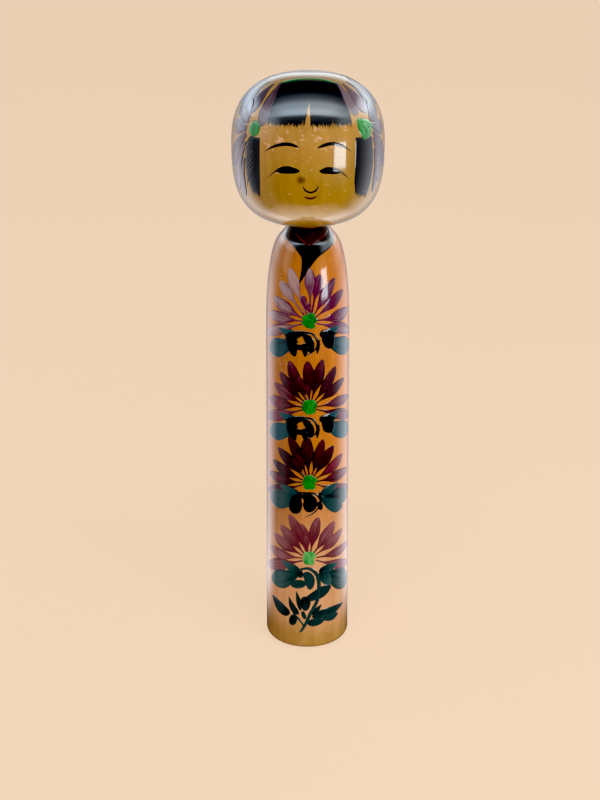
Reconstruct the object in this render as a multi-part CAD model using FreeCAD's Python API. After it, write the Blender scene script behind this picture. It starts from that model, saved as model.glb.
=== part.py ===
"""Kokeshi doll: a turned wooden body and a turned wooden head that plugs into it.

The frame is in millimetres with +Z up. Its origin is the middle of the foot, and the doll faces -Y.
Both pieces are solids of revolution about Z, as they come off a lathe. The head's own tenon sits in
a blind bore in the body, with a running clearance, and the head's flat seat rests on the body's top.
"""
import FreeCAD, Part
import math
import os

# Driving dimensions, mm
TOTAL_HEIGHT = 280.0

# body: a long, slightly tapered cylinder with a rounded foot and long rounded shoulders
FOOT_RADIUS = 20.4
FOOT_ROUNDING = 4.0
WAIST_RADIUS = 19.75          # where the straight taper ends and the shoulder begins
WAIST_HEIGHT = 0.557 * TOTAL_HEIGHT
SHOULDER_TOP = 0.743 * TOTAL_HEIGHT
SHOULDER_TOP_RADIUS = 9.0     # radius at which the shoulder curve would turn level
SHOULDER_POWER = 2.55         # power of the shoulder's superellipse
NECK_SLOPE = math.tan(math.radians(49.0))   # rise over run of the cone between shoulder and seat

# head: two superellipse halves that meet at the widest level
HEAD_RADIUS = 34.7
HEAD_WIDEST_HEIGHT = 0.8865 * TOTAL_HEIGHT
CROWN_POWER = 2.45
JAW_POWER = 2.94
JAW_DEPTH = 36.6              # from the widest level down to the lowest point of the curve
HEAD_SEAT_RADIUS = 9.0        # the flat ring turned under the head

# neck joint: the head's tenon in the body's blind bore
TENON_RADIUS = 6.0
RADIAL_CLEARANCE = 0.05
TENON_LENGTH = 25.0
TENON_CHAMFER = 1.0
BORE_END_GAP = 2.0
BORE_RADIUS = TENON_RADIUS + RADIAL_CLEARANCE

CURVE_STEPS = 16              # spans of each superellipse stretch


def point(radius, height):
    """A point of a lathe profile, in the XZ plane."""
    return FreeCAD.Vector(radius, 0, height)


def superellipse_point(angle, inner_radius, outer_radius, level, rise, power):
    """A point of the quarter curve that starts upright at outer_radius and ends level at inner_radius."""
    share_out = max(math.cos(angle), 0.0) ** (2.0 / power)
    share_up = math.sin(angle) ** (2.0 / power)
    return point(inner_radius + (outer_radius - inner_radius) * share_out, level + rise * share_up)


def superellipse_edge(last_angle, inner_radius, outer_radius, level, rise, power, end_direction):
    """One smooth edge along that quarter curve, from its upright end to last_angle."""
    curve_points = [superellipse_point(last_angle * step / CURVE_STEPS,
                                       inner_radius, outer_radius, level, rise, power)
                    for step in range(CURVE_STEPS + 1)]
    curve = Part.BSplineCurve()
    curve.interpolate(Points=curve_points,
                      InitialTangent=point(0, math.copysign(1, rise)),
                      FinalTangent=end_direction)
    return curve.toShape()


def straight_edges(corners):
    """Straight edges that join the corners in turn."""
    return [Part.LineSegment(start, end).toShape() for start, end in zip(corners, corners[1:])]


def turn(edges):
    """The solid that a closed half profile sweeps about the Z axis."""
    profile = Part.Face(Part.Wire(Part.__sortEdges__(edges)))
    solid = profile.revolve(FreeCAD.Vector(0, 0, 0), FreeCAD.Vector(0, 0, 1), 360)
    return solid if solid.Volume > 0 else solid.reversed()


def jaw_height(radius):
    """Height of the head's lower curve at a radius."""
    drop = (1 - (radius / HEAD_RADIUS) ** JAW_POWER) ** (1 / JAW_POWER)
    return HEAD_WIDEST_HEIGHT - JAW_DEPTH * drop


SEAT_HEIGHT = jaw_height(HEAD_SEAT_RADIUS)


def make_body():
    """Foot, straight taper, shoulder, neck cone and seat, with the blind bore for the tenon."""
    rise = SHOULDER_TOP - WAIST_HEIGHT
    run = WAIST_RADIUS - SHOULDER_TOP_RADIUS
    # the shoulder hands over to the neck cone where the two have the same slope
    steepness = rise / run / NECK_SLOPE
    handover = math.atan(steepness ** (1 / (2 - 2 / SHOULDER_POWER)))
    shoulder = (SHOULDER_TOP_RADIUS, WAIST_RADIUS, WAIST_HEIGHT, rise, SHOULDER_POWER)
    cone_start = superellipse_point(handover, *shoulder)
    seat_radius = cone_start.x - (SEAT_HEIGHT - cone_start.z) / NECK_SLOPE
    bore_floor = SEAT_HEIGHT - TENON_LENGTH - BORE_END_GAP
    foot_start = point(FOOT_RADIUS - FOOT_ROUNDING, 0)
    foot_end = point(FOOT_RADIUS, FOOT_ROUNDING)
    half_chord = FOOT_ROUNDING * math.sqrt(0.5)
    foot_middle = point(foot_start.x + half_chord, FOOT_ROUNDING - half_chord)
    edges = straight_edges([point(0, 0), foot_start])
    edges.append(Part.Arc(foot_start, foot_middle, foot_end).toShape())
    edges += straight_edges([foot_end, point(WAIST_RADIUS, WAIST_HEIGHT)])
    edges.append(superellipse_edge(handover, *shoulder, end_direction=point(-1, NECK_SLOPE)))
    edges += straight_edges([cone_start, point(seat_radius, SEAT_HEIGHT), point(BORE_RADIUS, SEAT_HEIGHT),
                             point(BORE_RADIUS, bore_floor), point(0, bore_floor), point(0, 0)])
    print("seat radius %.2f, seat height %.2f, bore floor %.2f" % (seat_radius, SEAT_HEIGHT, bore_floor))
    return turn(edges)


def make_head():
    """Crown and jaw curves, the flat seat under the jaw, and the tenon below it."""
    tenon_end = SEAT_HEIGHT - TENON_LENGTH
    crown_rise = TOTAL_HEIGHT - HEAD_WIDEST_HEIGHT
    jaw_end = math.asin(((HEAD_WIDEST_HEIGHT - SEAT_HEIGHT) / JAW_DEPTH) ** (JAW_POWER / 2))
    jaw_slope = (HEAD_SEAT_RADIUS / HEAD_RADIUS) ** (JAW_POWER - 1) * JAW_DEPTH / HEAD_RADIUS
    edges = [superellipse_edge(math.pi / 2, 0, HEAD_RADIUS, HEAD_WIDEST_HEIGHT,
                               crown_rise, CROWN_POWER, end_direction=point(-1, 0)),
             superellipse_edge(jaw_end, 0, HEAD_RADIUS, HEAD_WIDEST_HEIGHT,
                               -JAW_DEPTH, JAW_POWER, end_direction=point(-1, -jaw_slope))]
    edges += straight_edges([point(HEAD_SEAT_RADIUS, SEAT_HEIGHT),
                             point(TENON_RADIUS, SEAT_HEIGHT),
                             point(TENON_RADIUS, tenon_end + TENON_CHAMFER),
                             point(TENON_RADIUS - TENON_CHAMFER, tenon_end),
                             point(0, tenon_end),
                             point(0, TOTAL_HEIGHT)])
    return turn(edges)


def main():
    """Builds both pieces and writes one file for each."""
    os.makedirs("parts", exist_ok=True)
    pieces = {"body": make_body(), "head": make_head()}
    for name, solid in pieces.items():
        box = solid.BoundBox
        print("%s: valid %s, %d solid, volume %.1f cm3, z %.2f to %.2f, radius %.2f"
              % (name, solid.isValid(), len(solid.Solids), solid.Volume / 1000,
                 box.ZMin, box.ZMax, box.XMax))
        solid.exportStep("parts/" + name + ".step")
    overlap = pieces["body"].common(pieces["head"]).Volume
    print("overlap of head and body: %.4f mm3" % overlap)


main()
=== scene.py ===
# %% [markdown]
# # A turned and painted kokeshi doll
#
# The doll is two pieces of wood off a lathe, a body and a head that plugs into it. Everything else on it is
# brushwork: ink and dye strokes under a clear gloss varnish. This lesson first turns the two pieces on the
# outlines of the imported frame, then paints them stroke by stroke. A stroke is a thin closed film of dye
# that follows the wood, so the pattern is in the meshes and not only in a picture laid over them.

# %% Load the frame
import math

import bpy
import numpy as np
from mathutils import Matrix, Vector


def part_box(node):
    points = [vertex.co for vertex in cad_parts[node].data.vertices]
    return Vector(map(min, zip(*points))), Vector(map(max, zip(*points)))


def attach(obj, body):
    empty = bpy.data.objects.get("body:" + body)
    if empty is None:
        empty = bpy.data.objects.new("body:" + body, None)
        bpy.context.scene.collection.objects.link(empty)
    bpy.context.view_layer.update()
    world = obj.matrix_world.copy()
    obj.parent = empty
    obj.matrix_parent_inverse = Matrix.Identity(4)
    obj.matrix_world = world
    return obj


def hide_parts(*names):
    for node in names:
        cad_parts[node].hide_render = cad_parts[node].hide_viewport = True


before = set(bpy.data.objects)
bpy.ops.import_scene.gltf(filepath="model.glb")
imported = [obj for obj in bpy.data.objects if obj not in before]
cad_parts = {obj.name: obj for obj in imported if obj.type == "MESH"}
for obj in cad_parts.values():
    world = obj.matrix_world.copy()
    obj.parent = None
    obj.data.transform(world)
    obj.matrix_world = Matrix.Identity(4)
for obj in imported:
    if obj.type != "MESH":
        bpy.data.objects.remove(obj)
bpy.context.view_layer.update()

MM = 0.001
scene = bpy.context.scene

# %% [markdown]
# ## Camera
#
# The viewer stands a little under seventy centimetres away and looks down on the doll from above its head,
# so the crown shows and the foot is a curved edge. A long lens keeps the tall body nearly straight. The
# camera is set by its place, its pitch and its lens, and a small sideways aim puts the doll where it stands
# in the frame.

# %% The camera
CAMERA_DISTANCE = 0.667
CAMERA_HEIGHT = 0.367
CAMERA_PITCH = math.radians(-19.98)
CAMERA_YAW = math.radians(0.31)
LENS = 66.42
SENSOR = 36.0
NEAREST_SEEN, FARTHEST_SEEN = 0.01, 100

camera_data = bpy.data.cameras.new("viewer")
camera_data.sensor_width = SENSOR
camera_data.lens = LENS
camera_data.clip_start = NEAREST_SEEN
camera_data.clip_end = FARTHEST_SEEN
camera = bpy.data.objects.new("viewer", camera_data)
camera.location = (0, -CAMERA_DISTANCE, CAMERA_HEIGHT)
camera.rotation_euler = (math.pi / 2 + CAMERA_PITCH, 0, CAMERA_YAW)
scene.collection.objects.link(camera)
scene.camera = camera
print("lens %.1f mm, %.1f degrees down" % (camera_data.lens, -math.degrees(CAMERA_PITCH)))

# %% [markdown]
# ## The two outlines
#
# A lathe piece is one outline swung about the axis. The crown, the jaw and the shoulders are quarter
# superellipses: like a quarter of an ellipse, but squarer as the power goes above two. The sizes come from
# the frame's boxes where they can, and the powers are the ones the pieces were turned to. The outline could
# be traced point by point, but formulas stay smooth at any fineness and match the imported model.

# %% Outlines of the head and the body
head_low, head_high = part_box("head")
body_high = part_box("body")[1]
TOTAL_HEIGHT = head_high.z
SEAT_HEIGHT = body_high.z
HEAD_RADIUS = head_high.x
HEAD_WIDEST = 0.8865 * TOTAL_HEIGHT
JAW_DEPTH = 36.6 * MM
CROWN_POWER = 2.45
JAW_POWER = 2.94
TENON_RADIUS = 6.0 * MM
TENON_CHAMFER = 1.0 * MM
TENON_END = head_low.z

FOOT_RADIUS = body_high.x
FOOT_ROUNDING = 4.0 * MM
WAIST_RADIUS = 19.75 * MM
WAIST_HEIGHT = 0.557 * TOTAL_HEIGHT
SHOULDER_TOP = 0.743 * TOTAL_HEIGHT
SHOULDER_TOP_RADIUS = 9.0 * MM
SHOULDER_POWER = 2.55
NECK_SLOPE = math.tan(math.radians(49))
BORE_RADIUS = 6.05 * MM
BORE_END_GAP = 2.0 * MM
FOOT_DISC_POINTS = 8
FOOT_CORNER_POINTS = 14


def quarter(angles, inner, outer, level, rise, power):
    """Radius falls from outer to inner as cos(angle) to the power 2/power; height climbs from level by rise
    times sin(angle) to the same power. Returns an array of (radius, height) rows."""
    out = np.clip(np.cos(angles), 0, None) ** (2 / power)
    up = np.sin(angles) ** (2 / power)
    return np.column_stack([inner + (outer - inner) * out, level + rise * up])


def straight(start, end, count):
    """Evenly spaced rows from start to end, both included."""
    share = np.linspace(0, 1, count)[:, None]
    return np.array(start) * (1 - share) + np.array(end) * share


def run_along(points):
    """Distance from the first point to each point of a line."""
    return np.concatenate([[0], np.cumsum(np.hypot(*np.diff(points, axis=0).T))])


def head_skin():
    """The head's outside from the crown's pole down to its flat seat."""
    crown = quarter(np.linspace(math.pi / 2, 0, 70), 0, HEAD_RADIUS, HEAD_WIDEST,
                    TOTAL_HEIGHT - HEAD_WIDEST, CROWN_POWER)
    crown[0, 0] = 0
    last = math.asin(((HEAD_WIDEST - SEAT_HEIGHT) / JAW_DEPTH) ** (JAW_POWER / 2))
    jaw = quarter(np.linspace(0, last, 60), 0, HEAD_RADIUS, HEAD_WIDEST, -JAW_DEPTH, JAW_POWER)
    return np.vstack([crown, jaw[1:]])


def body_skin():
    """The body's outside from the middle of the foot up to the seat's edge."""
    rise, run = SHOULDER_TOP - WAIST_HEIGHT, WAIST_RADIUS - SHOULDER_TOP_RADIUS
    handover = math.atan((rise / run / NECK_SLOPE) ** (1 / (2 - 2 / SHOULDER_POWER)))
    turn = np.linspace(0, math.pi / 2, FOOT_CORNER_POINTS)
    foot = np.column_stack([FOOT_RADIUS - FOOT_ROUNDING * (1 - np.sin(turn)),
                            FOOT_ROUNDING * (1 - np.cos(turn))])
    shoulder = quarter(np.linspace(0, handover, 60), SHOULDER_TOP_RADIUS, WAIST_RADIUS,
                       WAIST_HEIGHT, rise, SHOULDER_POWER)
    seat_edge = shoulder[-1] + np.array([-1 / NECK_SLOPE, 1]) * (SEAT_HEIGHT - shoulder[-1, 1])
    side = straight((FOOT_RADIUS, FOOT_ROUNDING), (WAIST_RADIUS, WAIST_HEIGHT), 90)
    return np.vstack([straight((0, 0), foot[0], FOOT_DISC_POINTS), foot[1:], side[1:], shoulder[1:],
                      straight(shoulder[-1], seat_edge, 6)[1:]])


head_outside, body_outside = head_skin(), body_skin()
head_outline = np.vstack([head_outside,
                          (TENON_RADIUS, SEAT_HEIGHT),
                          (TENON_RADIUS, TENON_END + TENON_CHAMFER),
                          (TENON_RADIUS - TENON_CHAMFER, TENON_END),
                          (0, TENON_END)])
body_outline = np.vstack([body_outside,
                          (BORE_RADIUS, SEAT_HEIGHT),
                          (BORE_RADIUS, TENON_END - BORE_END_GAP),
                          (0, TENON_END - BORE_END_GAP)])
print("head outline", len(head_outline), "points, body outline", len(body_outline), "points")

# %% [markdown]
# ## Swinging an outline into a solid
#
# Blender has a Spin tool for this, but a surface worked out on a grid says exactly where each point is: one
# parameter runs along the outline and the other round the axis. The outline starts and ends on the axis, so
# each end is a single point joined to its ring by triangles, and the solid has no seam and no hole.

# %% Lathe helpers
AROUND = 192


def new_mesh_piece(name, places, faces, body, smooth_angle=40):
    """A mesh object at the origin from an array of places and lists of faces, which rides on a body."""
    mesh = bpy.data.meshes.new(name)
    mesh.from_pydata(places.tolist(), [], faces)
    mesh.validate()
    mesh.shade_smooth()
    mesh.set_sharp_from_angle(angle=math.radians(smooth_angle))
    piece = bpy.data.objects.new(name, mesh)
    scene.collection.objects.link(piece)
    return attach(piece, body)


def swung(radius, height, spokes):
    """Columns of radius and height become rings at (r sin a, -r cos a, z). Returns the places, the index of
    each point, the index of its neighbour round the axis, and the quads between the rings."""
    angles = np.arange(spokes) * 2 * math.pi / spokes
    rings = np.stack([radius * np.sin(angles), -radius * np.cos(angles),
                      np.broadcast_to(height, (len(radius), spokes))], axis=-1)
    index = np.arange(len(radius) * spokes).reshape(-1, spokes)
    after = np.roll(index, -1, axis=1)
    quads = np.stack([index[:-1], index[1:], after[1:], after[:-1]], axis=-1).reshape(-1, 4)
    return rings.reshape(-1, 3), index, after, quads


def fan(pole, ring, after):
    """Triangles from one pole to a ring of points."""
    return np.stack([np.full(len(ring), pole), ring, after], axis=-1)


def turned_solid(name, outline, body):
    """The inner outline points are swung into rings and the two end points are poles. The faces are wound
    so that they look away from the wood."""
    places, index, after, quads = swung(outline[1:-1, 0:1], outline[1:-1, 1:2], AROUND)
    poles = np.array([[0, 0, outline[0, 1]], [0, 0, outline[-1, 1]]])
    first_pole = len(places)
    faces = [quads, fan(first_pole, index[0], after[0]), fan(first_pole + 1, after[-1], index[-1])]
    going_up = outline[-1, 1] > outline[0, 1]
    if going_up:
        faces = [np.flip(f, axis=1) for f in faces]
    return new_mesh_piece(name, np.vstack([places, poles]), [row for f in faces for row in f.tolist()], body)


turned_head = turned_solid("turned_head", head_outline, "head")
turned_body = turned_solid("turned_body", body_outline, "body")
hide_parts("head")
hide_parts("body")
for piece in (turned_head, turned_body):
    print(piece.name, len(piece.data.polygons), "faces")

# %% [markdown]
# ## Shader maths
#
# A material is a set of nodes joined by links. Written by hand that gets long, so a small class wraps one
# output socket, and ordinary arithmetic on it adds the Math node. Everything else comes from one method
# that takes the node's type, its settings and its inputs.


# %% A signal and a node tree
def both_ways(operation):
    """An operator and its reflected form. Each adds one Math node, with the signal first or second."""
    return (lambda self, other: self.maths(operation, self, other),
            lambda self, other: self.maths(operation, other, self))


class Signal:
    """One output socket. The operators +, -, *, / and ** add Math nodes and return new signals."""

    def __init__(self, tree, socket):
        self.tree, self.socket = tree, socket

    def maths(self, operation, first, second=0.0):
        return self.tree.add("Math", {"operation": operation}, {0: first, 1: second})

    __add__, __radd__ = both_ways("ADD")
    __sub__, __rsub__ = both_ways("SUBTRACT")
    __mul__, __rmul__ = both_ways("MULTIPLY")
    __truediv__, __rtruediv__ = both_ways("DIVIDE")
    __pow__, __rpow__ = both_ways("POWER")

    def size(self):
        return self.maths("ABSOLUTE", self)

    def between(self, low, high):
        """0 below low, 1 above high, and a soft climb between; low may be the larger to turn it round."""
        inputs = {"Value": self, "From Min": min(low, high), "From Max": max(low, high)}
        if high < low:
            inputs.update({"To Min": 1.0, "To Max": 0.0})
        return self.tree.add("MapRange", {"interpolation_type": "SMOOTHSTEP"}, inputs)


class Tree:
    """A node tree. Its add method makes a node of any kind and returns one of its outputs as a Signal."""

    def __init__(self, owner):
        owner.use_nodes = True
        self.tree = owner.node_tree
        self.tree.nodes.clear()

    def add(self, kind, settings=None, inputs=None, output=0):
        """Settings are set first, then each input gets its value or its link."""
        node = self.tree.nodes.new("ShaderNode" + kind)
        for name, value in (settings or {}).items():
            setattr(node, name, value)
        for name, value in (inputs or {}).items():
            if isinstance(value, Signal):
                self.tree.links.new(value.socket, node.inputs[name])
            else:
                node.inputs[name].default_value = value
        if node.outputs:
            return Signal(self, node.outputs[output])

    def mix(self, share, first, second):
        """Colour first where share is 0 and second where it is 1."""
        inputs = {0: share, 6: first, 7: second}
        return self.add("Mix", {"data_type": "RGBA"}, inputs, output=2)

    def noise(self, places, scale, detail=2.0, roughness=0.5):
        inputs = {"Vector": places, "Scale": scale, "Detail": detail, "Roughness": roughness}
        return self.add("TexNoise", None, inputs)

    def object_places(self):
        return self.add("TexCoord", output="Object")

    def stretch(self, places, factors):
        return self.add("VectorMath", {"operation": "MULTIPLY"}, {0: places, 1: factors})

    def parts(self, vector):
        split = self.add("SeparateXYZ", None, {0: vector}).socket.node
        return [Signal(self, socket) for socket in split.outputs]

    def join(self, x, y, z):
        return self.add("CombineXYZ", None, {0: x, 1: y, 2: z})


def shade(red, green, blue):
    """A colour read off a painter's card, 0 to 255, turned into the light values a shader needs."""
    card = np.array([red, green, blue]) / 255
    light = np.where(card <= 0.04045, card / 12.92, ((card + 0.055) / 1.055) ** 2.4)
    return (*light.tolist(), 1.0)


print("shader helpers ready")

# %% [markdown]
# ## The wood
#
# The blank is a pale close-grained wood that has gone amber under its varnish. Its fibres run up the doll,
# so one noise stretched along the height gives lines on the sides and pores on the crown, as end grain
# does. The tree's own year rings cross it as broad soft bands. The lathe leaves hairline rings round the
# axis, which only the bump shows. The gloss is a clear coat over a duller wood. The same wood colour is
# used below the dyes, because a dry brush leaves gaps, and the wood seen there has to match the wood beside
# it.


# %% Wood colour and varnish
FIBRES = (1500, 1500, 45)
KNOT_PLACE = (-0.0028, -0.0335, 0.2382)
BUMP_HEIGHT = 0.00012
INDEX_OF_VARNISH = 1.5


def wood_colour(tree, places):
    """Amber wood: fibres and year rings along the height, and blotches. Painted light: the body is lighter
    towards the viewer's right, and the head is darker at the chin and paler at the brow. The low body is
    paler and the foot greyer."""
    fibre = tree.noise(tree.stretch(places, FIBRES), 1.0, 3.0, 0.6)
    streak = tree.noise(tree.stretch(places, (260, 260, 9)), 1.0, 3.0, 0.55)
    blotch = tree.noise(tree.stretch(places, (38, 38, 20)), 1.0, 4.0, 0.6)
    x, y, height = tree.parts(places)
    pith_distance = ((x + 0.055) ** 2.0 + (y - 0.035) ** 2.0) ** 0.5
    ring = tree.add("Math", {"operation": "SINE"},
                    {0: pith_distance * 1500.0 + streak * 9.0 + height * 14.0}) * 0.5 + 0.5
    tone = fibre * 0.30 + streak * 0.34 + ring * 0.08 + blotch * 0.55 - 0.14
    on_head = height.between(SEAT_HEIGHT - 0.0005, SEAT_HEIGHT + 0.0005)
    lit_towards_right = x.between(-0.010, 0.018)

    def grained(dark, light):
        return tree.mix(tone.between(0.2, 0.8), dark, light)

    # Painted light: the body's amber is mixed lighter towards the viewer's right and darker on the left.
    deep_amber = tree.mix(lit_towards_right, shade(156, 90, 10), shade(186, 106, 26))
    light_amber = tree.mix(lit_towards_right, shade(184, 118, 26), shade(208, 136, 46))
    body_amber = grained(deep_amber, light_amber)
    pale_body = grained(shade(196, 140, 92), shade(218, 168, 126))
    foot_amber = grained(shade(158, 116, 54), shade(184, 144, 78))
    # Painted light and shade on the head: the chin's amber is darker and the brow's paler, blended by
    # height.
    shaded_chin_amber = grained(shade(146, 109, 14), shade(168, 131, 32))
    lit_brow_amber = grained(shade(164, 121, 52), shade(188, 145, 70))
    head_amber = tree.mix((height + blotch * 0.012).between(0.236, 0.262), shaded_chin_amber, lit_brow_amber)
    low = (height + blotch * 0.05 - x * 0.6).between(0.115, 0.065)
    at_foot = (height + blotch * 0.02).between(0.032, 0.016)
    body = tree.mix(at_foot, tree.mix(low, body_amber, pale_body), foot_amber)
    return tree.mix(on_head, body, head_amber), tone


def varnish(tree, colour, rough, bump):
    """A clear coat over the colour: the colour's own surface is duller than the coat."""
    settings = {"distribution": "MULTI_GGX"}
    inputs = {"Base Color": colour, "Roughness": rough, "Normal": bump, "Specular IOR Level": 0.2,
              "IOR": INDEX_OF_VARNISH, "Coat IOR": INDEX_OF_VARNISH, "Coat Weight": 1.0,
              "Coat Roughness": 0.08}
    surface = tree.add("BsdfPrincipled", settings, inputs)
    tree.add("OutputMaterial", None, {"Surface": surface})


def varnish_bump(tree, places, film=None):
    """Lathe rings and fibres that show faintly through the gloss, and the coat's own slow waviness."""
    height = tree.parts(places)[2]
    lathe = tree.noise(tree.join(0.0, 0.0, height * 2600.0), 1.0, 2.0, 0.6)
    fibre = tree.noise(tree.stretch(places, FIBRES), 1.0, 2.0, 0.5)
    wave = tree.noise(places, 90.0, 2.0, 0.5)
    skin = tree.noise(places, 900.0, 2.0, 0.5)
    relief = lathe * 0.10 + fibre * 0.12 + wave * 0.9 + skin * 0.10
    if film is not None:
        relief = relief + film
    return tree.add("Bump", None, {"Strength": 0.35, "Distance": BUMP_HEIGHT, "Height": relief})


def wood_material():
    """The bare varnished wood, with a pin knot beside the nose and rubbed pale spots on the brow."""
    material = bpy.data.materials.new("varnished amber wood")
    tree = Tree(material)
    places = tree.object_places()
    colour, tone = wood_colour(tree, places)
    from_knot = tree.add("VectorMath", {"operation": "DISTANCE"}, {0: places, 1: KNOT_PLACE},
                         output=1)
    knot = (from_knot + tone * 0.0014).between(0.0034, 0.0016)
    colour = tree.mix(knot * 0.85, colour, shade(84, 46, 8))
    spots = tree.noise(tree.stretch(places, (1.0, 1.0, 1.5)), 420.0, 4.0, 0.68)
    patches = tree.noise(places, 120.0, 1.0)
    y, height = tree.parts(places)[1:]
    near_brow = height.between(0.247, 0.252) * height.between(0.266, 0.260) * y.between(-0.010, -0.020)
    rubbed = (spots + (patches - 0.5) * 0.5 * near_brow + near_brow * 0.05).between(0.63, 0.70)
    colour = tree.mix(rubbed * 0.6, colour, shade(222, 184, 150))
    varnish(tree, colour, 0.32 + rubbed * 0.2 + tone * 0.1, varnish_bump(tree, places, rubbed * 0.5))
    return material


wood = wood_material()
for piece in (turned_head, turned_body):
    piece.data.materials.append(wood)
print("wood nodes", len(wood.node_tree.nodes))

# %% [markdown]
# ## The table and the light
#
# The doll stands on a pale table that runs on without an edge, in soft light with hardly a shadow. The
# gloss is what shows the room. There are pale walls at the sides, high windows above them, a soft glow
# forward on the left, a high strip behind for the white line over the crown, a broad light above the front
# for the grey band on the hair, and the dim place where the viewer stands. The small bright window on the
# cheek is a lamp. The world holds a different light for each kind of ray: an even dome for the colours, and
# this room for the gloss. Only reflections see two more things. A card on the table is pale to the sides
# and dim in front, and four low lamps round the foot show in the gloss of the chin and the shoulders. A
# stored image of a room could light it in one step, but a room built from soft steps of direction reads
# nothing from disk, and each highlight can be put where it belongs.


# %% World, table and lamps
PEACH = shade(240, 213, 186)


def wall_light(aside, back):
    """Radiance of the walls and the table by compass direction: aside is 1 to the viewer's right and back
    is 1 straight behind the doll. Dim in front, palest abeam, less behind."""
    right_wall = back.between(-0.42, 0.05) * back.between(0.45, 0.15) * aside.between(0.0, 0.4)
    return back.between(-0.17, 0.50) * 2.35 - back.between(0.58, 0.92) * 1.7 + right_wall * 0.6


def left_glow(aside, back):
    """A soft share from 0 to 1 for the side window on the left, well forward of abeam."""
    return back.between(-0.80, -0.35) * back.between(0.05, -0.25) * aside.between(-0.2, -0.6)


def room_light():
    """The camera sees plain peach, matt surfaces an even dome, and the gloss the room by direction."""
    world = bpy.data.worlds.new("pale room")
    world.cycles.sampling_method = "NONE"
    scene.world = world
    tree = Tree(world)
    x, y, z = tree.parts(tree.add("TexCoord", output="Generated"))
    level = (x * x + y * y + 0.0004) ** 0.5
    aside, back = x / level, y / level
    walls = (wall_light(aside, back) + left_glow(aside, back) * 1.5) * z.between(0.62, 0.42)
    back_strip = y.between(0.10, 0.40) * z.between(0.17, 0.23) * z.between(0.50, 0.28) * 1.7
    high_sides = x.size().between(0.25, 0.50) * y.between(0.15, 0.40) * 1.6
    high_sides = high_sides * z.between(0.26, 0.34) * z.between(0.60, 0.50)
    high_windows = x.size().between(0.60, 0.82) * z.between(0.28, 0.40) * z.between(0.66, 0.57) * 2.8
    rise = z.maths("MAXIMUM", z, 0.01)
    forward = (0.0 - y) / rise
    sideways = x.size() / rise
    outward = forward + sideways * sideways * 0.10
    panel = forward.between(-0.25, 0.20) * outward.between(1.00, 0.84) * sideways.between(1.9, 0.5)
    band = 1.6 + outward.between(0.05, 0.36) * 4.8 + outward.between(0.42, 0.66) * 3.6
    overhead = panel * z.between(0.05, 0.20) * band
    left_wall = tree.mix(z.between(-0.35, -0.10), shade(226, 228, 234), shade(208, 226, 240))
    right_wall = tree.mix(z.between(-0.05, 0.10), shade(232, 230, 236), shade(224, 236, 244))
    tint = tree.mix(x.between(-0.3, 0.2), left_wall, right_wall)
    strength = walls + back_strip + high_sides + high_windows + overhead + 0.06
    camera_ray = tree.add("LightPath", output="Is Camera Ray")
    glossy_ray = tree.add("LightPath", output="Is Glossy Ray")
    gloss = tree.add("Background", None, {"Color": tint, "Strength": strength})
    dome = tree.add("Background", None, {"Color": shade(250, 246, 240), "Strength": 0.50})
    seen = tree.add("Background", None, {"Color": PEACH, "Strength": 1.0})
    lit = tree.add("MixShader", None, {0: glossy_ray, 1: dome, 2: gloss})
    tree.add("OutputWorld", None,
             {"Surface": tree.add("MixShader", None, {0: camera_ray, 1: lit, 2: seen})})


def flat_round(name, height, material):
    """A flat disc far wider than the view, drawn as rings about the doll."""
    radii = np.array([0.05, 0.2, 0.6, 2.0, 6.0, 25.0])[:, None]
    places, index, after, quads = swung(radii, height, 96)
    middle = fan(len(places), index[0], after[0])
    places = np.vstack([places, (0, 0, height)])
    mesh = bpy.data.meshes.new(name)
    mesh.from_pydata(places.tolist(), [], quads.tolist() + middle.tolist())
    mesh.validate()
    mesh.materials.append(material)
    disc = bpy.data.objects.new(name, mesh)
    scene.collection.objects.link(disc)
    disc.visible_glossy = False
    return disc


def table_material():
    """Matt peach that partly glows: the table stays even, with a faint shadow at the doll's foot."""
    material = bpy.data.materials.new("pale table")
    tree = Tree(material)
    places = tree.object_places()
    mottle = tree.noise(places, 3.0, 2.0)
    colour = tree.mix(mottle, shade(140, 124, 107), shade(146, 129, 112))
    glow = tree.add("Emission", None, {"Color": PEACH, "Strength": 0.80})
    matt = tree.add("BsdfDiffuse", None, {"Color": colour, "Roughness": 0.6})
    both = tree.add("AddShader", None, {0: glow, 1: matt})
    tree.add("OutputMaterial", None, {"Surface": both})
    return material


def gleam_material():
    """What the gloss sees of the table: dim to the front, palest to the sides and somewhat less behind."""
    material = bpy.data.materials.new("table gleam")
    tree = Tree(material)
    x, y = tree.parts(tree.object_places())[:2]
    away = (x * x + y * y + 0.0000004) ** 0.5
    aside, back = x / away, y / away
    pale = (wall_light(aside, back) + left_glow(aside, back) * 0.5) * away.between(0.025, 0.09)
    pale = pale * (1.0 - away.between(0.7, 1.5) * 0.3) + 0.03
    glow = tree.add("Emission", None, {"Color": shade(228, 230, 238), "Strength": pale})
    tree.add("OutputMaterial", None, {"Surface": glow})
    return material


def lamp(name, place, aim, width, height, radiance, tint=(1, 1, 1), gloss=False, matt=True, spread=180):
    """A flat rectangular light that faces its aim and isn't seen itself. Power is radiance x area x pi."""
    data = bpy.data.lights.new(name, "AREA")
    data.shape = "RECTANGLE"
    data.size, data.size_y = width, height
    data.energy = radiance * width * height * math.pi
    data.color = tint
    data.spread = math.radians(spread)
    light = bpy.data.objects.new(name, data)
    light.location = place
    light.rotation_euler = (Vector(aim) - Vector(place)).to_track_quat("-Z", "Y").to_euler()
    light.visible_camera = False
    light.visible_glossy = gloss
    light.visible_diffuse = matt
    scene.collection.objects.link(light)


def around(azimuth, elevation, distance, height):
    """A place at that azimuth from the viewer's side and that elevation, seen from the axis at a height."""
    a, e = math.radians(azimuth), math.radians(elevation)
    return (distance * math.sin(a) * math.cos(e), -distance * math.cos(a) * math.cos(e),
            height + distance * math.sin(e))


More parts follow.
